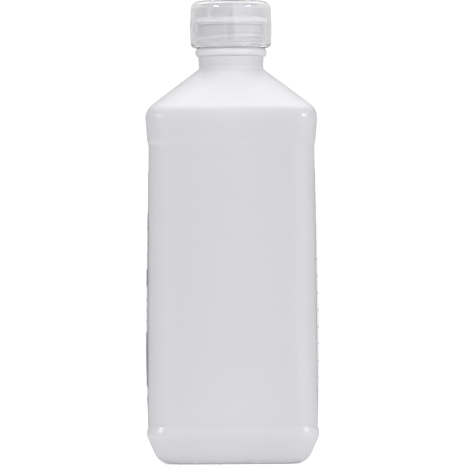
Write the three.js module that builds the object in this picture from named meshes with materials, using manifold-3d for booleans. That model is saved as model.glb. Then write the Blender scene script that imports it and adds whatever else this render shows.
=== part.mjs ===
// Square plastic reagent bottle, 946 ml (32 US fl oz), with a clear screw cap.
//
// The bottle is a blow-moulded shell of natural polyethylene with a 33 mm one-turn neck thread. Its cap
// is a smooth clear outer shell snapped over a clear threaded cap, with a foam liner that seals on the rim.
// Two paper labels lie in the recessed panels of the left and right faces, and the bottle holds liquid up
// to its shoulder. Millimetres, +Z up, origin at the centre of the foot. -Y is the plain front face, and
// the labels are on the -X and +X faces.
import * as THREE from "three";
import { mergeVertices } from "three/addons/utils/BufferGeometryUtils.js";
import Module from "manifold-3d";

const wasm = await Module();
wasm.setup();

// ---- Driving dimensions ------------------------------------------------------------------------------

// Body: half-widths are measured from the axis to the middle of a side, before it bulges.
const FOOT_INNER = 25.5; // the flat foot runs from here
const FOOT_OUTER = 29.25; // to here
const PUSH_UP = 3; // height of the hollow under the base
const PUSH_UP_EDGE = 21.4; // half-width of its flat roof
const HEEL_RADIUS = 8.5; // round between the foot and the sloping heel
const HEEL_TILT = THREE.MathUtils.degToRad(24.5); // the heel's lean from the vertical
const HEEL_TOP = { half: 40.2, z: 12.3 };
const BASE_BAND = { half: 40.62, z: 14.3 }; // proud band under the label panels
const PANEL_FOOT = { half: 39.83, z: 18.4 };
const PANEL_HEAD = { half: 39, z: 149.7 };
const SHOULDER_BAND = { half: 39.6, z: 152.7 }; // proud band over the label panels
const SHOULDER_WIDEST = { half: 40.35, z: 162.8 };
const SHOULDER_ROUND = 8.8;
const SHOULDER_SLOPE = THREE.MathUtils.degToRad(38.5); // from the horizontal
const CORNER_RADIUS = 10; // upright corners of the body
const CORNER_SPREAD = 0.24; // how fast the corners open out up the shoulder, to a circle at the neck
const WALL = 1;
const PANEL_BULGE = 1.47; // how far the filled bottle's sides belly out
const BULGE_SKEW = 0.65; // under 1 puts the belly's peak below the middle

// Neck and its one-turn thread, the 33 mm finish.
const NECK_FOOT_RADIUS = 15.3;
const NECK_HEAD_RADIUS = 15.5;
const BEAD = { radius: 17, bottom: 192.7, top: 196.9 };
const FINISH_RADIUS = 14.85; // neck wall between the threads
const RIM_Z = 207.7;
const RIM_EDGE = 0.4;
const BORE_RADIUS = 12.95;
const BORE_FOOT_Z = 188.6;
const PITCH = 25.4 / 6; // six threads to the inch
const THREAD_CLEARANCE = 0.3;
const THREAD_HEIGHT = 1.2;
const THREAD_ROOT = 2.6;
const THREAD_CREST = 1.2;
const THREAD_ROOTING = 0.3; // how far a ridge is sunk into its wall
const THREAD_FRONT_Z = 202.3; // height of the neck's ridge where it crosses the front
const THREAD_RUNOUT = THREE.MathUtils.degToRad(35);
const THREAD_STEP = THREE.MathUtils.degToRad(7.5);

// Cap.
const CAP_TOP = 219.3;
const CAP_BOTTOM = 197.1;
const CAP_WALL = 1.1;
const CAP_RADIUS = { top: 19, middle: 19.4, bottom: 19.2 };
const CAP_MIDDLE_Z = 206.5;
const CAP_TOP_ROUND = 3.8;
const CAP_FOOT_ROUND = 2.4;
const CAP_FOOT_START = THREE.MathUtils.degToRad(-70); // its round begins here, short of flat
const CAP_LIP = { reach: 17.3, top: 198.1 }; // snap lip under the threaded cap's skirt
const HOLD_DOWN = { inner: 10.3, outer: 11.4 }; // ring that presses on the threaded cap
const INSERT_GAP = 0.2;
const INSERT_TOP = 211.4;
const INSERT_ROOF = 209.6; // underside of its plate
const INSERT_BOTTOM = 198.4;
const INSERT_BORE = FINISH_RADIUS + THREAD_HEIGHT + THREAD_CLEARANCE;
const INSERT_RADIUS = INSERT_BORE + 1.45;
const INSERT_ROUND = 1.8;
const LINER = { radius: 15.9, bottom: RIM_Z + 0.15, top: INSERT_ROOF - 0.15 };

// Contents and labels.
const FILL_Z = 168.6;
const LIQUID_GAP = 0.35;
const LABEL = { halfWidth: 28.5, halfHeight: 60, z: 78.3, round: 3, gap: 0.2, thickness: 0.15 };

// Facets.
const SIDE_STEPS = 6;
const CORNER_STEPS = 6;
const CORNER_START = THREE.MathUtils.degToRad(36.5); // direction in which a side gives way to a corner
const FINE = { panelRows: 8, shoulderRows: 3, arcSteps: 3 };
const COARSE = { panelRows: 6, shoulderRows: 2, arcSteps: 1 };
const LATHE_STEPS = 40;
const ARC_STEPS = 2;
const LABEL_RINGS = 4;
const LABEL_CORNER_STEPS = 3;
const LABEL_EDGE_STEPS = 6;

// ---- Solids ------------------------------------------------------------------------------------------

// Closed surface through rings of points. A ring of one point closes an end.
function loft(rings) {
  const firsts = [];
  const points = [];
  for (const ring of rings) {
    firsts.push(points.length);
    points.push(...ring);
  }
  const faces = [];
  const corner = (ring, i) => firsts[ring] + (i % rings[ring].length);
  for (let k = 0; k + 1 < rings.length; k++) {
    const steps = Math.max(rings[k].length, rings[k + 1].length);
    for (let i = 0; i < steps; i++) {
      const [a, b, c, d] = [corner(k, i), corner(k, i + 1), corner(k + 1, i + 1), corner(k + 1, i)];
      if (a !== b) faces.push(a, b, c);
      if (c !== d) faces.push(a, c, d);
    }
  }
  return new THREE.BufferGeometry().setFromPoints(points).setIndex(faces);
}

function toSolid(geometry) {
  const bare = new THREE.BufferGeometry();
  bare.setAttribute("position", geometry.getAttribute("position"));
  bare.setIndex(geometry.getIndex());
  const merged = mergeVertices(bare, 1e-4);
  return new wasm.Manifold(
    new wasm.Mesh({
      numProp: 3,
      vertProperties: new Float32Array(merged.getAttribute("position").array),
      triVerts: new Uint32Array(merged.getIndex().array),
    }),
  );
}

function toGeometry(solid) {
  const mesh = solid.getMesh();
  const geometry = new THREE.BufferGeometry();
  geometry.setAttribute("position", new THREE.BufferAttribute(mesh.vertProperties, 3));
  geometry.setIndex(new THREE.BufferAttribute(mesh.triVerts, 1));
  return geometry;
}

// Solid of revolution about Z from an outline of radius against height.
function revolve(outline) {
  return new THREE.LatheGeometry(outline.getPoints(ARC_STEPS), LATHE_STEPS).rotateX(Math.PI / 2);
}

// Ridge of a right-hand thread, from direction `start` to `end`, whose ends run out into the wall.
// `side` is 1 on the outside of a wall of radius `wall` and -1 on the inside.
function threadRidge({ wall, side, start, end, frontZ }) {
  const count = Math.round((end - start) / THREAD_STEP);
  const rings = [];
  for (let k = 0; k <= count; k++) {
    const turn = start + ((end - start) * k) / count;
    const runout = Math.min(1, (turn - start) / THREAD_RUNOUT, (end - turn) / THREAD_RUNOUT);
    const crest = wall + side * (THREAD_HEIGHT * runout - THREAD_ROOTING * (1 - runout) * 0.5);
    const root = wall - side * THREAD_ROOTING;
    const z = frontZ + (PITCH * (turn + Math.PI / 2)) / (2 * Math.PI);
    const place = (radius, height) =>
      new THREE.Vector3(radius * Math.cos(turn), radius * Math.sin(turn), z + height);
    const section = [
      place(root, -THREAD_ROOT / 2),
      place(crest, -THREAD_CREST / 2),
      place(crest, THREAD_CREST / 2),
      place(root, THREAD_ROOT / 2),
    ];
    rings.push(side > 0 ? section.reverse() : section);
  }
  const sumOf = (ring) => ring.reduce((sum, p) => sum.add(p), new THREE.Vector3());
  const centre = (ring) => sumOf(ring).divideScalar(ring.length);
  return loft([[centre(rings[0])], ...rings, [centre(rings.at(-1))]]);
}

// ---- The bottle's form -------------------------------------------------------------------------------

// The same directions serve every ring, closer together at the corners.
const DIRECTIONS = [];
for (let quarter = 0; quarter < 4; quarter++) {
  const middle = (quarter * Math.PI) / 2;
  for (let i = 0; i < SIDE_STEPS; i++)
    DIRECTIONS.push(middle + CORNER_START * ((2 * i) / SIDE_STEPS - 1));
  for (let i = 0; i < CORNER_STEPS; i++)
    DIRECTIONS.push(middle + CORNER_START + ((Math.PI / 2 - 2 * CORNER_START) * i) / CORNER_STEPS);
}

// Distance from the axis to a square of half-width `half` with rounded corners, in one direction.
function reach(half, round, direction) {
  const across = Math.abs(Math.cos(direction));
  const along = Math.abs(Math.sin(direction));
  const flat = half - round;
  const longer = Math.max(across, along);
  if (half * Math.min(across, along) <= flat * longer) return half / longer;
  const toCentre = flat * (across + along);
  return toCentre + Math.sqrt(toCentre ** 2 - 2 * flat ** 2 + round ** 2);
}

// How far the middle of a side bellies out at a height.
function bulgeAt(z) {
  const share = THREE.MathUtils.clamp((z - PANEL_FOOT.z) / (PANEL_HEAD.z - PANEL_FOOT.z), 0, 1);
  return PANEL_BULGE * Math.sin(Math.PI * share ** BULGE_SKEW);
}

// The belly's share of its full depth, `offset` from the middle of a side of half-length `edge`.
function bellyShare(offset, edge) {
  return Math.cos((Math.PI / 2) * Math.min(1, Math.abs(offset) / edge)) ** 2;
}

// One level of the body as a ring of points. Corners stay round until the side is shorter than they are.
function bodyRing({ half, z }) {
  const round = Math.min(half, CORNER_RADIUS + Math.max(0, z - SHOULDER_WIDEST.z) * CORNER_SPREAD);
  const bulge = bulgeAt(z);
  const edge = reach(half, round, Math.PI / 4) * Math.SQRT1_2;
  return DIRECTIONS.map((direction) => {
    const point = new THREE.Vector3(Math.cos(direction), Math.sin(direction), 0);
    point.multiplyScalar(reach(half, round, direction)).setZ(z);
    const [out, along] = Math.abs(point.x) > Math.abs(point.y) ? ["x", "y"] : ["y", "x"];
    point[out] += Math.sign(point[out]) * bulge * bellyShare(point[along], edge);
    return point;
  });
}

// Outline of the shell's outside as half-width against height, from the middle of the base to the neck.
function bodyOutline({ panelRows, shoulderRows, arcSteps }) {
  const outline = new THREE.Path();
  outline.moveTo(0, PUSH_UP);
  outline.lineTo(PUSH_UP_EDGE, PUSH_UP);
  outline.lineTo(FOOT_INNER - 1, 0.5);
  outline.lineTo(FOOT_INNER, 0);
  outline.lineTo(FOOT_OUTER, 0);
  outline.absarc(FOOT_OUTER, HEEL_RADIUS, HEEL_RADIUS, -Math.PI / 2, -HEEL_TILT, false);
  outline.lineTo(HEEL_TOP.half, HEEL_TOP.z);
  outline.quadraticCurveTo(BASE_BAND.half + 0.1, HEEL_TOP.z + 0.9, BASE_BAND.half, BASE_BAND.z);
  for (let row = 0; row <= panelRows; row++)
    outline.lineTo(
      THREE.MathUtils.lerp(PANEL_FOOT.half, PANEL_HEAD.half, row / panelRows),
      THREE.MathUtils.lerp(PANEL_FOOT.z, PANEL_HEAD.z, row / panelRows),
    );
  outline.lineTo(SHOULDER_BAND.half, SHOULDER_BAND.z);
  outline.lineTo(SHOULDER_WIDEST.half, SHOULDER_WIDEST.z);
  const centre = SHOULDER_WIDEST.half - SHOULDER_ROUND;
  const turned = Math.PI / 2 - SHOULDER_SLOPE;
  outline.absarc(centre, SHOULDER_WIDEST.z, SHOULDER_ROUND, 0, turned, false);
  const slopeFoot = outline.currentPoint.clone();
  const run = slopeFoot.x - NECK_FOOT_RADIUS;
  const slopeHead = slopeFoot.y + run * Math.tan(SHOULDER_SLOPE);
  for (let row = 1; row <= shoulderRows; row++)
    outline.lineTo(
      THREE.MathUtils.lerp(slopeFoot.x, NECK_FOOT_RADIUS + 0.6, row / shoulderRows),
      THREE.MathUtils.lerp(slopeFoot.y, slopeHead - 0.45, row / shoulderRows),
    );
  outline.quadraticCurveTo(NECK_FOOT_RADIUS, slopeHead, NECK_FOOT_RADIUS, slopeHead + 1);
  return outline.getPoints(arcSteps);
}

// The outline moved `distance` inwards along its own normals.
function inset(points, distance) {
  return points.map((point, i) => {
    const before = points[Math.max(0, i - 1)];
    const after = points[Math.min(points.length - 1, i + 1)];
    const along = after.clone().sub(before).normalize();
    return new THREE.Vector2(Math.max(0, point.x - along.y * distance), point.y + along.x * distance);
  });
}

// Neck, bead, rim and bore, from the shoulder up the outside and back down the inside.
function neckOutline() {
  const beadMiddle = (BEAD.bottom + BEAD.top) / 2;
  const beadHalf = (BEAD.top - BEAD.bottom) / 2;
  const beadReach = BEAD.radius - NECK_HEAD_RADIUS;
  const down = -Math.PI / 2;
  const outline = new THREE.Path();
  outline.moveTo(NECK_HEAD_RADIUS, BEAD.bottom - 0.2);
  outline.absellipse(NECK_HEAD_RADIUS, beadMiddle, beadReach, beadHalf, down, -down, false, 0);
  outline.lineTo(FINISH_RADIUS, BEAD.top + 0.3);
  outline.lineTo(FINISH_RADIUS, RIM_Z - RIM_EDGE);
  outline.lineTo(FINISH_RADIUS - RIM_EDGE, RIM_Z);
  outline.lineTo(BORE_RADIUS + RIM_EDGE, RIM_Z);
  outline.lineTo(BORE_RADIUS, RIM_Z - RIM_EDGE);
  outline.lineTo(BORE_RADIUS, BORE_FOOT_Z);
  return outline.getPoints(ARC_STEPS);
}

const toLevels = (points) => points.map((p) => ({ half: p.x, z: p.y }));

// Rings for a run of levels, where a level on the axis is a single point.
const ringsOf = (levels) =>
  levels.map((level) => (level.half < 1e-6 ? [new THREE.Vector3(0, 0, level.z)] : bodyRing(level)));

function bottleGeometry() {
  const outside = bodyOutline(FINE);
  const inside = inset(bodyOutline(COARSE), WALL).filter((p) => p.y < BORE_FOOT_Z - 1);
  const levels = [...toLevels(outside), ...toLevels(neckOutline()), ...toLevels(inside).reverse()];
  const shell = toSolid(loft(ringsOf(levels)));
  const ridge = threadRidge({
    wall: FINISH_RADIUS,
    side: 1,
    start: -1.5 * Math.PI,
    end: Math.PI,
    frontZ: THREAD_FRONT_Z,
  });
  const pinchOff = new THREE.BoxGeometry(2 * PUSH_UP_EDGE, 0.8, 1.2).translate(0, 0, PUSH_UP + 0.1);
  return toGeometry(shell.add(toSolid(ridge)).add(toSolid(pinchOff)));
}

function liquidGeometry() {
  const wall = inset(bodyOutline(COARSE), WALL + LIQUID_GAP);
  const wetted = wall.filter((p) => p.y < FILL_Z);
  const last = wetted.at(-1);
  const next = wall[wetted.length];
  const share = (FILL_Z - last.y) / (next.y - last.y);
  const levels = toLevels([...wetted, last.clone().lerp(next, share), new THREE.Vector2(0, FILL_Z)]);
  return loft(ringsOf(levels));
}

// ---- Labels ------------------------------------------------------------------------------------------

// Distance from the middle plane to the +X face, `y` along it and at height z, within the label panel.
function faceDepth(y, z) {
  const [below, above] = z < PANEL_FOOT.z ? [BASE_BAND, PANEL_FOOT] : [PANEL_FOOT, PANEL_HEAD];
  const half = THREE.MathUtils.mapLinear(z, below.z, above.z, below.half, above.half);
  const flat = half - CORNER_RADIUS;
  const past = Math.max(0, Math.abs(y) - flat);
  const edge = reach(half, CORNER_RADIUS, Math.PI / 4) * Math.SQRT1_2;
  return flat + Math.sqrt(CORNER_RADIUS ** 2 - past ** 2) + bulgeAt(z) * bellyShare(y, edge);
}

// Points round a rectangle with rounded corners, as offsets from its centre.
function labelEdge() {
  const { halfWidth, halfHeight, round } = LABEL;
  const edge = [];
  for (const [sx, sy] of [[1, 1], [-1, 1], [-1, -1], [1, -1]]) {
    const centre = new THREE.Vector2(sx * (halfWidth - round), sy * (halfHeight - round));
    const start = Math.atan2(sy, sx) - Math.PI / 4;
    for (let i = 0; i <= LABEL_CORNER_STEPS; i++) {
      const angle = start + (Math.PI / 2) * (i / LABEL_CORNER_STEPS);
      edge.push(new THREE.Vector2(centre.x + round * Math.cos(angle), centre.y + round * Math.sin(angle)));
    }
  }
  const filled = [];
  edge.forEach((point, i) => {
    const next = edge[(i + 1) % edge.length];
    const steps = point.distanceTo(next) > 2 * round ? LABEL_EDGE_STEPS : 1;
    for (let k = 0; k < steps; k++) filled.push(point.clone().lerp(next, k / steps));
  });
  return filled;
}

// A label wrapped on the +X face: its outer skin from the middle to the edge, then its back.
function labelGeometry() {
  const edge = labelEdge();
  const skin = (share, lift) =>
    (share === 0 ? [new THREE.Vector2()] : edge).map((p) => {
      const y = p.x * share;
      const z = LABEL.z + p.y * share;
      return new THREE.Vector3(faceDepth(y, z) + lift, y, z);
    });
  const shares = Array.from({ length: LABEL_RINGS + 1 }, (_, i) => i / LABEL_RINGS);
  const back = shares.map((share) => skin(share, LABEL.gap));
  const front = shares.map((share) => skin(share, LABEL.gap + LABEL.thickness));
  return loft([...back, ...front.reverse()]);
}

// ---- Cap ---------------------------------------------------------------------------------------------

function capShellGeometry() {
  const roof = CAP_TOP - CAP_WALL;
  const topCentre = CAP_RADIUS.top - CAP_TOP_ROUND;
  const footCentre = CAP_RADIUS.bottom - CAP_FOOT_ROUND;
  const footMiddle = CAP_BOTTOM - CAP_FOOT_ROUND * Math.sin(CAP_FOOT_START);
  const innerRound = CAP_TOP_ROUND - CAP_WALL;
  const outline = new THREE.Path();
  outline.moveTo(0, roof);
  outline.lineTo(HOLD_DOWN.inner, roof);
  outline.lineTo(HOLD_DOWN.inner, INSERT_TOP + INSERT_GAP);
  outline.lineTo(HOLD_DOWN.outer, INSERT_TOP + INSERT_GAP);
  outline.lineTo(HOLD_DOWN.outer, roof);
  outline.absarc(topCentre, roof - innerRound, innerRound, Math.PI / 2, 0, true);
  outline.lineTo(CAP_RADIUS.middle - CAP_WALL, CAP_MIDDLE_Z);
  outline.lineTo(CAP_RADIUS.bottom - CAP_WALL, CAP_LIP.top);
  outline.lineTo(CAP_LIP.reach, CAP_LIP.top);
  outline.lineTo(CAP_LIP.reach, CAP_BOTTOM + 0.2);
  outline.lineTo(CAP_LIP.reach + 0.2, CAP_BOTTOM);
  outline.absarc(footCentre, footMiddle, CAP_FOOT_ROUND, CAP_FOOT_START, 0, false);
  outline.lineTo(CAP_RADIUS.middle, CAP_MIDDLE_Z);
  outline.absarc(topCentre, CAP_TOP - CAP_TOP_ROUND, CAP_TOP_ROUND, 0, Math.PI / 2, false);
  outline.lineTo(0, CAP_TOP);
  return revolve(outline);
}

function threadedCapGeometry() {
  const outline = new THREE.Path();
  outline.moveTo(0, INSERT_ROOF);
  outline.lineTo(INSERT_BORE, INSERT_ROOF);
  outline.lineTo(INSERT_BORE, INSERT_BOTTOM + 0.4);
  outline.lineTo(INSERT_BORE + 0.4, INSERT_BOTTOM);
  outline.lineTo(INSERT_RADIUS, INSERT_BOTTOM);
  const centre = INSERT_RADIUS - INSERT_ROUND;
  outline.absarc(centre, INSERT_TOP - INSERT_ROUND, INSERT_ROUND, 0, Math.PI / 2, false);
  outline.lineTo(0, INSERT_TOP);
  const ridge = threadRidge({
    wall: INSERT_BORE,
    side: -1,
    start: -0.6 * Math.PI,
    end: 1.1 * Math.PI,
    frontZ: THREAD_FRONT_Z - PITCH / 2,
  });
  return toGeometry(toSolid(revolve(outline)).add(toSolid(ridge)));
}

function linerGeometry() {
  const outline = new THREE.Path();
  outline.moveTo(0, LINER.bottom);
  outline.lineTo(LINER.radius, LINER.bottom);
  outline.lineTo(LINER.radius, LINER.top);
  outline.lineTo(0, LINER.top);
  return revolve(outline);
}

// ---- Assembly ----------------------------------------------------------------------------------------

const clear = (color, roughness, opacity) =>
  new THREE.MeshStandardMaterial({ color, roughness, transparent: true, opacity });

const MATERIALS = {
  polyethylene: clear(0xe4e4ea, 0.38, 0.75),
  clearPlastic: clear(0xdfe0e6, 0.08, 0.35),
  liquid: clear(0xe9edf0, 0.05, 0.3),
  foam: new THREE.MeshStandardMaterial({ color: 0xf2f2f0, roughness: 0.85 }),
  labelPaper: new THREE.MeshStandardMaterial({ color: 0xf4f4f1, roughness: 0.55 }),
};

const bottle = new THREE.Group();

function addPiece(name, geometry, material) {
  const mesh = new THREE.Mesh(geometry, material);
  mesh.name = name;
  bottle.add(mesh);
  return mesh;
}

addPiece("bottle_shell", bottleGeometry(), MATERIALS.polyethylene);
addPiece("liquid_fill", liquidGeometry(), MATERIALS.liquid);
addPiece("label_right", labelGeometry(), MATERIALS.labelPaper);
addPiece("label_left", labelGeometry(), MATERIALS.labelPaper).rotation.z = Math.PI;
addPiece("cap_liner", linerGeometry(), MATERIALS.foam);
addPiece("cap_threaded_insert", threadedCapGeometry(), MATERIALS.clearPlastic);
addPiece("cap_outer_shell", capShellGeometry(), MATERIALS.clearPlastic);

export default bottle;
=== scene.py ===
"""Looks of the square plastic reagent bottle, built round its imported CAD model."""

import math

import bmesh
import bpy
import numpy as np
from mathutils import Matrix, Vector


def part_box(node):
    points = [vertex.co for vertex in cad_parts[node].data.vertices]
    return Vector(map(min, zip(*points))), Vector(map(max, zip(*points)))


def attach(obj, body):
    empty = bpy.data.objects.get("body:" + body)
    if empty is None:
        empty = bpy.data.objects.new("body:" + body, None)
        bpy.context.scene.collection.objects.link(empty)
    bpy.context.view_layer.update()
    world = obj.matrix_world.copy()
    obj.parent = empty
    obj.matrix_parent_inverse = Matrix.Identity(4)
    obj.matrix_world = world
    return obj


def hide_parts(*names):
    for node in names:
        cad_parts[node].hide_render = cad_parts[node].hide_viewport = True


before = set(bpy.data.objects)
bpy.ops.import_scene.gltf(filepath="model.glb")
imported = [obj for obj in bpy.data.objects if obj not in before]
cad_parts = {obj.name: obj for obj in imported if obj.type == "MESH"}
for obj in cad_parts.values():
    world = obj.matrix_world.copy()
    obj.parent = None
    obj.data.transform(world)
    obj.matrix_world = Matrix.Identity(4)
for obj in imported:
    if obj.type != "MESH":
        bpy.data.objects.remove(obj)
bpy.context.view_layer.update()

# ---- Dimensions, in millimetres, as in the CAD source ------------------------------------------------

MM = 1000  # millimetres to a metre

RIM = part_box("bottle_shell")[1].z * MM
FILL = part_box("liquid_fill")[1].z * MM
CAP_LOW, CAP_HIGH = (c.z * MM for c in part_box("cap_outer_shell"))
INSERT_LOW, INSERT_HIGH = (c.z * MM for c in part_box("cap_threaded_insert"))
LINER_LOW, LINER_HIGH = (c.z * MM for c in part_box("cap_liner"))
LABEL_LOW, LABEL_HIGH = (c.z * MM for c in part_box("label_right"))
LABEL_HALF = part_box("label_right")[1].y * MM

# The body: half widths and heights.
CORNER, CORNER_SPREAD = 10.0, 0.24
PANEL_FOOT, PANEL_HEAD = (39.83, 18.4), (39.0, 149.7)
WIDEST = (40.35, 162.8)
BULGE, BULGE_SKEW = 1.455, 0.65  # a touch under the CAD's 1.47, so that the finer curve keeps to its box
WALL = 1.0
NECK_FOOT, NECK_HEAD = 15.3, 15.5
BEAD_RADIUS, BEAD_LOW, BEAD_HIGH = 17.0, 192.7, 196.9

# The neck's thread and the caps. A ridge starts and ends at a number of turns from the front.
FINISH, BORE = 14.85, 12.95
PITCH = 25.4 / 6
RIDGE_HEIGHT, RIDGE_ROOT, RIDGE_CREST = 1.2, 2.6, 1.2
RIDGE_FRONT = 202.3
RIDGE_RUNOUT = 0.09
NECK_RIDGE_START, NECK_RIDGE_END = -0.5, 0.75
CAP_RIDGE_START, CAP_RIDGE_END = -0.05, 0.8
INSERT_BORE, INSERT_ROOF = 16.35, 209.6
OUTER_ROOF = 1.1
HOLD_DOWN_INSIDE, HOLD_DOWN_OUTSIDE, HOLD_DOWN_GAP = 10.3, 11.4, 0.2

# Finer shapes: the pinch-off under the base, the mould's seams, the meniscus and the labels.
PINCH_OFF_REACH, PINCH_OFF_HALF, PINCH_OFF_MIDDLE, PINCH_OFF_HEIGHT = 20.9, 0.45, 3.05, 0.55
SEAM_HEIGHT, SEAM_HALF = 0.07, 0.3
SEAM_LEAST_HALF = 29.0  # the seam stops where the shoulder gets narrower than this
MENISCUS_DEPTH, MENISCUS_REACH = 1.2, 3.2
LABEL_CORNER, LABEL_BACK, LABEL_FRONT = 3.0, 0.08, 0.2

SHARP = math.radians(40)  # faces that meet at more than this are shaded with an edge


# ---- Outlines ----------------------------------------------------------------------------------------


class Outline:
    """A run of (radius, height) points drawn with lines, arcs and curves."""

    def __init__(self, x, z):
        self.points = [(x, z)]

    def line(self, x, z, steps=1):
        x0, z0 = self.points[-1]
        for i in range(1, steps + 1):
            self.points.append((x0 + (x - x0) * i / steps, z0 + (z - z0) * i / steps))
        return self

    def arc(self, cx, cz, rx, start, end, rz=None, steps=12):
        for i in range(steps + 1):
            a = math.radians(start + (end - start) * i / steps)
            self.points.append((cx + rx * math.cos(a), cz + (rz or rx) * math.sin(a)))
        return self

    def curve(self, cx, cz, x, z, steps=6):
        x0, z0 = self.points[-1]
        for i in range(1, steps + 1):
            t = i / steps
            a, b, c = (1 - t) ** 2, 2 * t * (1 - t), t * t
            self.points.append((a * x0 + b * cx + c * x, a * z0 + b * cz + c * z))
        return self


def body_outline():
    """The outside of the moulding, from the middle of the base up to the foot of the neck."""
    o = Outline(0, 3).line(20.4, 3, 3).curve(21.4, 3, 21.8, 2.5, 4).line(24.2, 0.5, 2)
    o.curve(24.8, 0, 25.5, 0, 4).line(29.25, 0, 2)
    o.arc(29.25, 8.5, 8.5, -90, -24.5)
    o.line(39.9, 11.6, 3).curve(40.6, 13.1, 40.62, 14.3, 5).curve(40.62, 15.5, 40.35, 16.4, 5)
    o.curve(39.95, 17.5, PANEL_FOOT[0], 18.6, 5).line(*PANEL_HEAD, 48)
    o.curve(39.08, 150.6, 39.32, 151.4, 4).curve(39.6, 152.4, 39.66, 153.4, 4).line(*WIDEST, 4)
    o.arc(WIDEST[0] - 8.8, WIDEST[1], 8.8, 0, 51.5, steps=14)
    x, z = o.points[-1]
    slope = math.tan(math.radians(38.5))
    head = z + (x - NECK_FOOT) * slope
    o.line(NECK_FOOT + 0.6, head - 0.6 * slope, 16).curve(NECK_FOOT, head, NECK_FOOT, head + 0.7)
    return o


def shell_outline():
    """The whole closed section of the shell: outside, rim, bore and inside."""
    outside = body_outline()
    inside = [p for p in inset(outside.points, WALL) if p[1] < 187.4]
    middle, half = (BEAD_LOW + BEAD_HIGH) / 2, (BEAD_HIGH - BEAD_LOW) / 2
    o = outside.line(NECK_HEAD, BEAD_LOW - 0.2, 3)
    o.arc(NECK_HEAD, middle, BEAD_RADIUS - NECK_HEAD, -90, 90, rz=half)
    o.line(FINISH, BEAD_HIGH + 0.4).line(FINISH, RIM - 0.4, 72)
    o.arc(FINISH - 0.4, RIM - 0.4, 0.4, 0, 90, steps=4).line(BORE + 0.4, RIM)
    o.arc(BORE + 0.4, RIM - 0.4, 0.4, 90, 180, steps=4).line(BORE, 188.6, 4)
    o.points += inside[::-1]
    return o.points


def cap_outline():
    """The outer cap shell, open below, with the ring that presses on the threaded cap."""
    roof, ring_low = CAP_HIGH - OUTER_ROOF, INSERT_HIGH + HOLD_DOWN_GAP
    o = Outline(0, roof).line(HOLD_DOWN_INSIDE, roof, 3)
    o.line(HOLD_DOWN_INSIDE, ring_low, 3).line(HOLD_DOWN_OUTSIDE, ring_low).line(HOLD_DOWN_OUTSIDE, roof, 3)
    o.arc(15.2, roof - 2.7, 2.7, 90, 0).line(18.3, 206.5, 6).line(18.1, CAP_LOW + 1, 6)
    o.line(17.3, CAP_LOW + 1).arc(17.5, CAP_LOW + 0.2, 0.2, 180, 270, steps=3)
    o.arc(16.8, CAP_LOW + 2.255, 2.4, -70, 0).curve(19.35, 203, 19.4, 206.5)
    o.curve(19.35, 211, 19, CAP_HIGH - 3.8)
    o.arc(15.2, CAP_HIGH - 3.8, 3.8, 0, 90, steps=16).line(0, CAP_HIGH, 4)
    return o.points


def insert_outline():
    """The threaded inner cap, open below."""
    o = Outline(0, INSERT_ROOF).line(INSERT_BORE, INSERT_ROOF, 4).line(INSERT_BORE, INSERT_LOW + 0.4, 84)
    o.line(INSERT_BORE + 0.4, INSERT_LOW).line(17.5, INSERT_LOW)
    o.arc(17.5, INSERT_LOW + 0.3, 0.3, -90, 0, steps=3)
    o.line(17.8, INSERT_HIGH - 1.8, 4).arc(16, INSERT_HIGH - 1.8, 1.8, 0, 90).line(0, INSERT_HIGH, 4)
    return o.points


def liner_outline():
    o = Outline(0, LINER_LOW).line(15.7, LINER_LOW, 3).arc(15.7, LINER_LOW + 0.2, 0.2, -90, 0, steps=3)
    o.arc(15.7, LINER_HIGH - 0.2, 0.2, 0, 90, steps=3).line(0, LINER_HIGH, 3)
    return o.points


def inset(points, distance):
    """The outline moved inwards along its own normals."""
    p = np.array(points)
    along = np.gradient(p, axis=0)
    along /= np.linalg.norm(along, axis=1)[:, None]
    moved = p + distance * np.stack([-along[:, 1], along[:, 0]], axis=1)
    moved[:, 0] = np.maximum(moved[:, 0], 0)
    return [tuple(q) for q in moved]


# ---- Surfaces ----------------------------------------------------------------------------------------


def square_directions(side_steps=22, corner_steps=18):
    """Directions round a square with rounded corners, closer together at the corners and the two seams."""
    side = math.radians(36.5)
    corner = math.pi / 2 - 2 * side
    out = []
    for quarter in range(4):
        middle = quarter * math.pi / 2
        out += [middle + side * (2 * i / side_steps - 1) for i in range(side_steps)]
        out += [middle + side + corner * i / corner_steps for i in range(corner_steps)]
    for seam in (0, math.pi):
        out += [seam + off for off in (-0.008, -0.004, 0.004, 0.008)]
    return np.sort(out)


def reach(half, corner, direction):
    """Distance from the axis to a rounded square of that half-width, in each direction."""
    across, along = np.abs(np.cos(direction)), np.abs(np.sin(direction))
    flat = half - corner
    longer, shorter = np.maximum(across, along), np.minimum(across, along)
    to_centre = flat * (across + along)
    rounded = to_centre + np.sqrt(np.maximum(to_centre**2 - 2 * flat**2 + corner**2, 0))
    return np.where(half * shorter <= flat * longer, half / longer, rounded)


def bulge_at(z):
    """How far the middle of a side bellies out at a height."""
    share = min(max((z - PANEL_FOOT[1]) / (PANEL_HEAD[1] - PANEL_FOOT[1]), 0), 1)
    return BULGE * math.sin(math.pi * share**BULGE_SKEW)


def belly_share(offset, edge):
    """The share of the bulge that is left away from the middle of a side."""
    return np.cos(math.pi / 2 * np.minimum(1, np.abs(offset) / edge)) ** 2


def corner_at(half, z):
    """The radius of the body's corners, which grows up the shoulder until its section is round."""
    return min(half, CORNER + max(0.0, z - WIDEST[1]) * CORNER_SPREAD)


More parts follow.
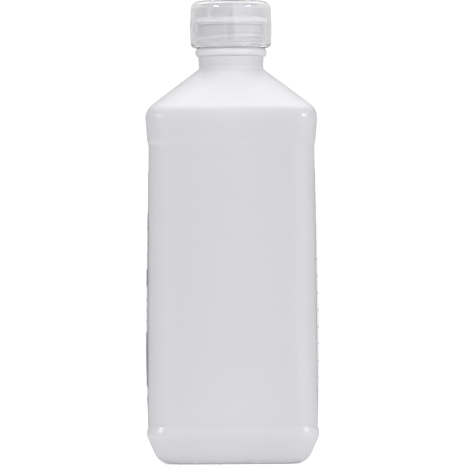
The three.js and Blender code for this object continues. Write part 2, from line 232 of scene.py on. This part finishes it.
def body_ring(half, z, directions):
    """One level of the body, whose sides belly out."""
    corner = corner_at(half, z)
    edge = reach(half, corner, np.array(math.pi / 4)) * math.sqrt(0.5)
    distance = reach(half, corner, directions)
    x, y = distance * np.cos(directions), distance * np.sin(directions)
    bulge, wide = bulge_at(z), np.abs(x) > np.abs(y)
    x = x + np.where(wide, np.sign(x) * bulge * belly_share(y, edge), 0)
    y = y + np.where(wide, 0, np.sign(y) * bulge * belly_share(x, edge))
    return np.stack([x, y, np.full_like(x, z)], axis=1)


def ridge_at(direction, z, start, end, front):
    """Height of the screw thread's ridge over its wall at a point. Angles are in turns from the front."""
    turn = (direction / (2 * math.pi) + 0.25) % 1
    height = np.zeros_like(direction)
    for whole in range(-2, 3):
        t = turn + whole
        off = np.abs(z - (front + PITCH * t))
        section = np.clip((RIDGE_ROOT / 2 - off) / ((RIDGE_ROOT - RIDGE_CREST) / 2), 0, 1)
        section = section**2 * (3 - 2 * section)
        runout = np.clip(np.minimum(t - start, end - t) / RIDGE_RUNOUT, 0, 1)
        height = np.maximum(height, RIDGE_HEIGHT * section * np.sqrt(runout))
    return height


def loft(name, rings):
    """A closed mesh through rings of points in millimetres, whose first and last are single points."""
    mesh = bmesh.new()
    rows = []
    for ring in rings:
        on_axis = np.abs(ring[:, :2]).max() < 1e-6
        rows.append([mesh.verts.new(p / MM) for p in (ring[:1] if on_axis else ring)])
    for low, high in zip(rows, rows[1:]):
        count = max(len(low), len(high))
        for i in range(count):
            corners = [low[i % len(low)], low[(i + 1) % len(low)]]
            corners += [high[(i + 1) % len(high)], high[i % len(high)]]
            face = list(dict.fromkeys(corners))
            if len(face) > 2:
                mesh.faces.new(face)
    return finished(name, mesh)


def finished(name, mesh):
    """The mesh as a smooth-shaded piece in the scene, sharp where its faces meet at a clear angle."""
    bmesh.ops.recalc_face_normals(mesh, faces=mesh.faces)
    data = bpy.data.meshes.new(name)
    mesh.to_mesh(data)
    mesh.free()
    data.shade_smooth()
    data.set_sharp_from_angle(angle=SHARP)
    piece = bpy.data.objects.new(name, data)
    bpy.context.scene.collection.objects.link(piece)
    return piece


def round_rings(points, steps=128):
    """The directions round a circle, and a round ring for each point of an outline."""
    directions = np.arange(steps) * 2 * math.pi / steps
    circle = np.stack([np.cos(directions), np.sin(directions)], axis=1)
    return directions, [np.column_stack([circle * r, np.full(steps, z)]) for r, z in points]


# ---- The pieces --------------------------------------------------------------------------------------


def bottle_piece():
    """The shell, with its thread, the mould's seams on the left and right, and the pinch-off underneath."""
    directions = square_directions()
    rings = []
    outline = shell_outline()
    rim = next(i for i, (_, z) in enumerate(outline) if z > RIM - 0.2)
    for i, (half, z) in enumerate(outline):
        if half > 0:
            ring = body_ring(half, z, directions)
        else:
            ring = np.array([[0, 0, z]] * len(directions))
        if half > SEAM_LEAST_HALF and i < rim:
            seam = SEAM_HEIGHT * np.clip(1 - np.abs(ring[:, 1]) / SEAM_HALF, 0, 1)
            ring[:, 0] += np.sign(ring[:, 0]) * seam
        if abs(half - FINISH) < 1e-6:
            ridge = ridge_at(directions, z, NECK_RIDGE_START, NECK_RIDGE_END, RIDGE_FRONT)
            ring[:, :2] *= (1 + ridge / half)[:, None]
        rings.append(ring)
    return joined(loft("bottle_moulding", rings), pinch_off())


def pinch_off():
    """The welded ridge across the push-up, where the mould closed on the tube of plastic."""
    rings = []
    around = np.arange(16) * math.pi / 8
    for along in np.sin(np.linspace(-math.pi / 2, math.pi / 2, 41)):
        swell = (1 - along**4) ** 0.5
        x = np.full(16, PINCH_OFF_REACH * along)
        y = PINCH_OFF_HALF * swell * np.cos(around)
        z = PINCH_OFF_MIDDLE + PINCH_OFF_HEIGHT * swell * np.sin(around)
        rings.append(np.column_stack([x, y, z]))
    rings[0], rings[-1] = rings[0][:1], rings[-1][:1]
    return loft("pinch_off", rings)


def joined(piece, added):
    """The piece with another closed piece fused to it."""
    union = piece.modifiers.new("union", "BOOLEAN")
    union.operation, union.solver, union.object = "UNION", "EXACT", added
    with bpy.context.temp_override(object=piece):
        bpy.ops.object.modifier_apply(modifier=union.name)
    piece.data.set_sharp_from_angle(angle=SHARP)
    bpy.data.meshes.remove(added.data)
    return piece


def liquid_piece():
    """The liquid, with a meniscus that creeps up the wall."""
    wall = inset(body_outline().points, WALL + 0.3)
    wetted = [p for p in wall if p[1] < FILL]
    (x0, z0), (x1, z1) = wetted[-1], wall[len(wetted)]
    edge = x0 + (x1 - x0) * (FILL - z0) / (z1 - z0)
    level = FILL - MENISCUS_DEPTH
    surface = Outline(edge, FILL).curve(edge - 0.9, level + 0.1, edge - MENISCUS_REACH, level)
    surface.line(0, level, 6)
    directions = square_directions()
    rings = [body_ring(half, z, directions) for half, z in wetted + surface.points if half > 0]
    rings = [np.array([[0, 0, wetted[0][1]]])] + rings + [np.array([[0, 0, level]])]
    return loft("liquid", rings)


def cap_piece():
    return loft("cap_outer", round_rings(cap_outline())[1])


def insert_piece():
    """The inner cap, whose thread runs half a pitch below the neck's."""
    directions, rings = round_rings(insert_outline())
    for ring in rings:
        radius = math.hypot(*ring[0, :2])
        if abs(radius - INSERT_BORE) < 1e-6:
            height = ring[0, 2]
            ridge = ridge_at(directions, height, CAP_RIDGE_START, CAP_RIDGE_END, RIDGE_FRONT - PITCH / 2)
            ring[:, :2] *= (1 - ridge / radius)[:, None]
    return loft("cap_inner", rings)


def liner_piece():
    return loft("liner_disc", round_rings(liner_outline(), 96)[1])


def face_depth(y, z):
    """Distance from the middle plane to a labelled face, in the panel."""
    low, high = PANEL_FOOT, PANEL_HEAD
    half = low[0] + (z - low[1]) / (high[1] - low[1]) * (high[0] - low[0])
    if z < low[1]:
        half = low[0] + 0.1 * (low[1] - z)
    past = max(0.0, abs(y) - (half - CORNER))
    edge = float(reach(half, CORNER, np.array(math.pi / 4))) * math.sqrt(0.5)
    depth = half - CORNER + math.sqrt(CORNER**2 - past**2)
    return depth + bulge_at(z) * float(belly_share(y, edge))


def label_piece(name, side):
    """A paper label with rounded corners, wrapped on a side face and closed all round."""
    low, high, half, corner = LABEL_LOW, LABEL_HIGH, LABEL_HALF, LABEL_CORNER
    columns, rows = 48, 96
    mesh = bmesh.new()

    def place(i, j, lift):
        z = low + (high - low) * j / rows
        dip = max(0.0, corner - min(z - low, high - z))
        width = half - corner + math.sqrt(corner**2 - dip**2)
        y = width * (2 * i / columns - 1)
        return mesh.verts.new(Vector((side * (face_depth(y, z) + lift), y, z)) / MM)

    def sheet_at(lift):
        return [[place(i, j, lift) for i in range(columns + 1)] for j in range(rows + 1)]

    back, front = sheet_at(LABEL_BACK), sheet_at(LABEL_FRONT)
    for sheet in (back, front):
        for j in range(rows):
            for i in range(columns):
                mesh.faces.new((sheet[j][i], sheet[j][i + 1], sheet[j + 1][i + 1], sheet[j + 1][i]))
    for j in range(rows):
        for i in (0, columns):
            mesh.faces.new((back[j][i], back[j + 1][i], front[j + 1][i], front[j][i]))
    for i in range(columns):
        for j in (0, rows):
            mesh.faces.new((back[j][i], back[j][i + 1], front[j][i + 1], front[j][i]))
    return finished(name, mesh)


# ---- Materials ---------------------------------------------------------------------------------------


class Nodes:
    """The nodes of a material or of the world, written as calls."""

    def __init__(self, owner):
        owner.use_nodes = True
        self.owner = owner
        self.tree = owner.node_tree
        self.tree.nodes.clear()

    def add(self, kind, *inputs, **options):
        """A new node. Inputs come by position or by name, and options that aren't inputs are its settings."""
        node = self.tree.nodes.new(kind)
        named = {k: options.pop(k) for k in list(options) if hasattr(node, k)}
        for key, value in named.items():
            setattr(node, key, value)
        for key, value in list(enumerate(inputs)) + list(options.items()):
            if value is not None:
                self.put(node.inputs[key], value)
        return node

    def put(self, socket, value):
        if isinstance(value, bpy.types.Node):
            value = value.outputs[0]
        if isinstance(value, bpy.types.NodeSocket):
            self.tree.links.new(value, socket)
        else:
            socket.default_value = value

    def maths(self, operation, *values):
        return self.add("ShaderNodeMath", *values, operation=operation)

    def place(self):
        """The point on the object in millimetres, as x, y and z."""
        where = self.add("ShaderNodeTexCoord").outputs["Object"]
        scaled = self.add("ShaderNodeVectorMath", operation="SCALE")
        self.put(scaled.inputs[0], where)
        scaled.inputs["Scale"].default_value = MM
        split = self.add("ShaderNodeSeparateXYZ", scaled)
        return scaled, split.outputs[0], split.outputs[1], split.outputs[2]

    def noise(self, where, scale, detail=2.0, stretch=(1, 1, 1)):
        mapping = self.add("ShaderNodeMapping", where)
        mapping.inputs["Scale"].default_value = stretch
        return self.add("ShaderNodeTexNoise", Vector=mapping, Scale=scale, Detail=detail)

    def fade(self, value, low, high, to_low=0.0, to_high=1.0, shape="SMOOTHSTEP"):
        """Goes from to_low to to_high as the value goes from low to high."""
        return self.add("ShaderNodeMapRange", value, low, high, to_low, to_high, interpolation_type=shape)

    def mix(self, factor, a, b):
        node = self.add("ShaderNodeMix", data_type="RGBA")
        for socket, value in zip((node.inputs[0], node.inputs[6], node.inputs[7]), (factor, a, b)):
            self.put(socket, value)
        return node.outputs[2]

    def bump(self, height, strength, distance=0.0001, normal=None):
        return self.add("ShaderNodeBump", Strength=strength, Distance=distance, Height=height, Normal=normal)

    def from_axis(self, x, y):
        return self.maths("SQRT", self.maths("ADD", self.maths("POWER", x, 2), self.maths("POWER", y, 2)))

    def surface(self, shader):
        self.add("ShaderNodeOutputMaterial", shader)
        return self.owner


def nodes_for(name):
    return Nodes(bpy.data.materials.new(name))


def grey(value, cool=0.0):
    """A grey, which a small `cool` turns towards violet."""
    return (value, value - 0.4 * cool, value + cool, 1)


def polyethylene():
    """Milky natural polyethylene, denser in the thick neck, and greyer where the liquid fills it, as painted
    shade.
    """
    n = nodes_for("natural_polyethylene")
    where, x, y, z = n.place()
    cloud = n.noise(where, 0.035, 3.0)
    grain = n.noise(where, 1.4, 3.0)
    streaks = n.noise(where, 0.25, 3.0, stretch=(1, 1, 0.06))
    wet = n.fade(z, FILL + 0.2, FILL - 2.4, shape="LINEAR")
    finish = n.fade(z, 196, 198)

    # Above the liquid, from the shoulder up: shoulder, neck, bead and thread. The thread's root is painted
    # darker, a painted shade, and its crest very pale, painted light that makes up for the light the two caps
    # in front of it take.
    thread_shade_and_highlight = n.mix(
        n.fade(n.from_axis(x, y), FINISH + 0.1, FINISH + 0.9), grey(0.77, 0.012), grey(0.98, 0.005)
    )
    shoulder = n.mix(cloud, grey(0.862, 0.012), grey(0.872, 0.012))
    dry = n.mix(n.fade(z, 184, 189), shoulder, grey(0.765, 0.014))
    dry = n.mix(n.fade(z, 191, 193), dry, grey(0.83, 0.014))
    dry = n.mix(finish, dry, thread_shade_and_highlight)

    # Where the liquid is: palest at the fill line, and darkest at the four corners, painted shade round a
    # painted highlight in the middle of each side, and in the streaks.
    darkest = grey(0.775, 0.014)
    off_middle = n.maths("MINIMUM", n.maths("ABSOLUTE", x), n.maths("ABSOLUTE", y))
    filled = n.mix(n.fade(z, FILL, FILL - 14), grey(0.815, 0.014), grey(0.8, 0.014))
    filled = n.mix(n.fade(z, 30, 0), filled, grey(0.805, 0.014))
    filled = n.mix(n.fade(off_middle, 0, 40), filled, darkest)
    filled = n.mix(n.maths("MULTIPLY", streaks, 0.25), filled, darkest)
    # Below the fill line the colour turns greyer: painted shade for the light the liquid lets through instead
    # of sending back.
    colour = n.mix(wet, dry, filled)

    seam = n.fade(n.maths("ABSOLUTE", y), 0.28, 0.1)
    raised = n.bump(seam, 0.5, 0.00012, n.bump(grain, 0.1, 0.00008))
    solid = n.add(
        "ShaderNodeBsdfPrincipled",
        **{
            "Base Color": colour,
            "Roughness": n.fade(cloud, 0.3, 0.7, 0.3, 0.38),
            "IOR": 1.5,
            "Normal": raised,
            "Coat Weight": 1.0,
            "Coat Roughness": 0.1,
            "Coat Normal": n.bump(cloud, 0.2, 0.0002),
        },
    )
    through = n.add("ShaderNodeBsdfTranslucent", Color=colour, Normal=raised)
    body_share = n.fade(wet, 0, 1, 0.45, 0.58, shape="LINEAR")
    share = n.fade(finish, 0, 1, body_share, 0.1, shape="LINEAR")
    return n.surface(n.add("ShaderNodeMixShader", share, solid, through))


def clear_plastic(name, haze, roughness, ior, milky_above=None):
    """Clear moulded polypropylene, faintly milky, with flow ripples. It can be milkier above a height.

    Its IOR is set below polypropylene's own 1.49: at that, too little light gets through to the neck.
    """
    n = nodes_for(name)
    where, _, _, z = n.place()
    ripples = n.noise(where, 0.12, 2.0, stretch=(1, 1, 0.4))
    specks = n.noise(where, 2.5, 2.0)
    clear = 1 - haze
    if milky_above:
        clear = n.fade(z, milky_above - 0.6, milky_above + 0.6, clear, 0.35)
    solid = n.add(
        "ShaderNodeBsdfPrincipled",
        **{
            "Base Color": n.mix(ripples, grey(0.98, 0.014), grey(0.99, 0.008)),
            "Roughness": n.fade(specks, 0.45, 0.75, roughness, roughness + 0.04),
            "IOR": ior,
            "Transmission Weight": clear,
            "Coat Weight": 0.6,
            "Coat Roughness": 0.03,
            "Normal": n.bump(ripples, 0.15, 0.0002),
        },
    )
    return n.surface(solid)


def liquid():
    n = nodes_for("clear_liquid")
    _, _, _, z = n.place()
    colour = n.mix(n.fade(z, 0, FILL), (0.93, 0.955, 0.96, 1), (0.955, 0.97, 0.975, 1))
    solid = n.add(
        "ShaderNodeBsdfPrincipled",
        **{"Base Color": colour, "Roughness": 0.0, "IOR": 1.37, "Transmission Weight": 1.0},
    )
    return n.surface(solid)


def foam():
    n = nodes_for("liner_foam")
    where, _, _, _ = n.place()
    cells = n.add("ShaderNodeTexVoronoi", Vector=where, Scale=3.0)
    colour = n.mix(n.noise(where, 0.4), grey(0.95), grey(0.98))
    solid = n.add(
        "ShaderNodeBsdfPrincipled",
        **{"Base Color": colour, "Roughness": 0.75, "Normal": n.bump(cells, 0.35, 0.0001)},
    )
    return n.surface(solid)


def rectangle(n, y, z, box, soft=0.12):
    """1 inside a box of (low y, low z, high y, high z) in millimetres, and 0 outside."""
    low_y, low_z, high_y, high_z = box
    sides = [
        n.fade(y, low_y - soft, low_y + soft),
        n.fade(y, high_y + soft, high_y - soft),
        n.fade(z, low_z - soft, low_z + soft),
        n.fade(z, high_z + soft, high_z - soft),
    ]
    inside = sides[0]
    for side in sides[1:]:
        inside = n.maths("MULTIPLY", inside, side)
    return inside


def label_paper(name, boxes):
    """Coated white paper printed with plain blocks, lines and blank fields."""
    n = nodes_for(name)
    where, _, y, z = n.place()
    fibre = n.noise(where, 1.2, 4.0, stretch=(1, 1, 0.3))
    colour = n.mix(n.noise(where, 0.05), grey(0.6), grey(0.64))
    for box, ink in boxes:
        colour = n.mix(rectangle(n, y, z, box), colour, ink)
    solid = n.add(
        "ShaderNodeBsdfPrincipled",
        **{"Base Color": colour, "Roughness": 0.42, "Normal": n.bump(fibre, 0.1, 0.00005)},
    )
    return n.surface(solid)


def main_label():
    """Dark blocks with pale fields in them, which show as the dark trace on the left silhouette."""
    slate, deep, paper = (0.12, 0.13, 0.16, 1), (0.06, 0.065, 0.08, 1), grey(0.62)
    edge = LABEL_HALF + 1
    boxes = [
        ((-edge, 36.5, edge, 118), slate),
        ((-edge, LABEL_LOW - 1, edge, 32), slate),
        ((-23, 92, 23, 110), paper),
        ((-23, 62, 23, 84), paper),
        ((-23, 44, 23, 56), deep),
    ]
    boxes += [((-19, height, 19, height + 0.5), slate) for height in (67, 72, 77)]
    boxes += [((-19, 98, 19, 98.6), slate), ((-19, 104, 8, 104.6), slate)]
    boxes += [((-23, 21, -3, 29), paper), ((3, 21, 23, 29), paper)]
    return label_paper("label_print_main", boxes)


def plain_label():
    """A grey bar, empty ruled lines and an empty box."""
    line, paper = (0.16, 0.18, 0.21, 1), grey(0.62)
    boxes = [((-24, 120, 24, 130), (0.3, 0.32, 0.37, 1)), ((-24, 112, 24, 112.8), line)]
    boxes += [((-24, 40 + 8 * i, 24, 40.6 + 8 * i), line) for i in range(9)]
    boxes += [((-24, 24, 24, 34), line), ((-23.5, 24.5, 23.5, 33.5), paper)]
    return label_paper("label_print_plain", boxes)


def floor_material():
    """A white table that glows round where the bottle stands: painted light that fills the bottle's shadow on
    it and lights the bottle from below.
    """
    n = nodes_for("studio_floor")
    where, x, y, _ = n.place()
    # The glow fades out away from the bottle: painted light in place of its shadow.
    shadow_fill_glow = n.fade(n.from_axis(x, y), 150, 450, 0.39, 0.16)
    colour = n.mix(n.noise(where, 0.01), grey(0.84), grey(0.86))
    solid = n.add(
        "ShaderNodeBsdfPrincipled",
        **{"Base Color": colour, "Roughness": 0.7, "Emission Color": grey(1), "Emission Strength": shadow_fill_glow},
    )
    return n.surface(solid)


def dress(piece, material, body, slot, *nodes):
    """Gives the piece its material and its body, and hides the CAD nodes that it stands for. The slot is not
    used.
    """
    piece.data.materials.append(material)
    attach(piece, body)
    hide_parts(*nodes)


# ---- Studio ------------------------------------------------------------------------------------------


def softbox(name, place, target=(0, 0, 0.13)):
    """One of the two lights whose reflections show on the corners."""
    light = bpy.data.lights.new(name, "AREA")
    light.shape = "RECTANGLE"
    light.size, light.size_y = 0.55, 0.2
    light.energy = 9.5
    box = bpy.data.objects.new(name, light)
    box.location = place
    box.rotation_euler = (Vector(target) - Vector(place)).to_track_quat("-Z", "Y").to_euler()
    bpy.context.scene.collection.objects.link(box)


def studio():
    """The floor, the lights round it, and a view transform that leaves white as it is."""
    mesh = bmesh.new()
    bmesh.ops.create_grid(mesh, x_segments=8, y_segments=8, size=0.7)
    floor = finished("floor", mesh)
    floor.data.materials.append(floor_material())

    light_tent()
    softbox("key_right", (1.25, -0.9, 0.92))
    softbox("key_left", (-1.15, -1.05, 0.92))
    bpy.context.scene.view_settings.view_transform = "Standard"


def facing(n, where, azimuth, elevation):
    """How squarely each direction faces one, whose azimuth is 0 behind the camera and 90 on its right."""
    a, e = math.radians(azimuth), math.radians(elevation)
    towards = (math.sin(a) * math.cos(e), -math.cos(a) * math.cos(e), math.sin(e))
    node = n.add("ShaderNodeVectorMath", where, towards, operation="DOT_PRODUCT")
    return node.outputs["Value"]


def light_tent():
    """White round the object, brightest above and at the front right, and plain white in view.

    Two small windows in it, dead ahead and dead behind, are greyer, so that clear plastic shows against them.
    """
    world = bpy.data.worlds.new("light_tent")
    bpy.context.scene.world = world
    n = Nodes(world)
    where = n.add("ShaderNodeTexCoord").outputs["Generated"]
    x, y, z = n.add("ShaderNodeSeparateXYZ", where).outputs
    level = n.fade(y, 0.9, -0.9, 0.66, 0.8)
    for part in (
        n.fade(z, 0, 1, 0, 0.25),
        n.fade(x, -1, 1, 0, 0.05, shape="LINEAR"),
        n.fade(facing(n, where, 33, 5), 0.5, 1, 0, 0.44),
        n.fade(facing(n, where, 3, 0), 0.9, 1, 0, 0.3),
        n.fade(facing(n, where, 180, 62), 0.6, 1, 0, 0.3),
    ):
        level = n.maths("ADD", level, part)
    window = n.fade(n.maths("ABSOLUTE", y), 0.97, 0.995)
    level = n.fade(window, 0, 1, level, n.fade(x, -0.03, 0.03, 0.45, 0.56), shape="LINEAR")
    seen = n.add("ShaderNodeLightPath").outputs["Is Camera Ray"]
    strength = n.add("ShaderNodeMix", data_type="FLOAT")
    for socket, value in zip(strength.inputs, (seen, None, level, 1.05)):
        if value is not None:
            n.put(socket, value)
    backdrop = n.add("ShaderNodeBackground", Color=grey(1), Strength=strength)
    n.add("ShaderNodeOutputWorld", backdrop)


def photo_camera():
    """A long lens at mid-height, square on to the plain front, rolled a third of a degree."""
    camera = bpy.data.cameras.new("camera")
    camera.lens = 356.4
    camera.clip_end = 20
    seen = bpy.data.objects.new("camera", camera)
    roll = Matrix.Rotation(math.radians(-0.33), 4, "Z")
    turn = Matrix.Rotation(math.radians(90), 4, "X") @ roll
    seen.matrix_world = Matrix.Translation((0.0005, -2.2, 0.1088)) @ turn
    bpy.context.scene.collection.objects.link(seen)
    bpy.context.scene.camera = seen


clear_cap = clear_plastic("clear_polypropylene", 0.05, 0.02, 1.3)
clear_insert = clear_plastic("clear_polypropylene_inner", 0.14, 0.03, 1.08, INSERT_ROOF - 0.8)
dress(bottle_piece(), polyethylene(), "bottle", "polyethylene", "bottle_shell")
dress(liquid_piece(), liquid(), "bottle", "clear_liquid", "liquid_fill")
dress(label_piece("label_main", -1), main_label(), "bottle", "label_paper", "label_left")
dress(label_piece("label_plain", 1), plain_label(), "bottle", "label_paper", "label_right")
dress(liner_piece(), foam(), "seal", "liner_foam", "cap_liner")
dress(insert_piece(), clear_insert, "cap", "clear_polypropylene", "cap_threaded_insert")
dress(cap_piece(), clear_cap, "cap", "clear_polypropylene", "cap_outer_shell")
studio()
photo_camera()
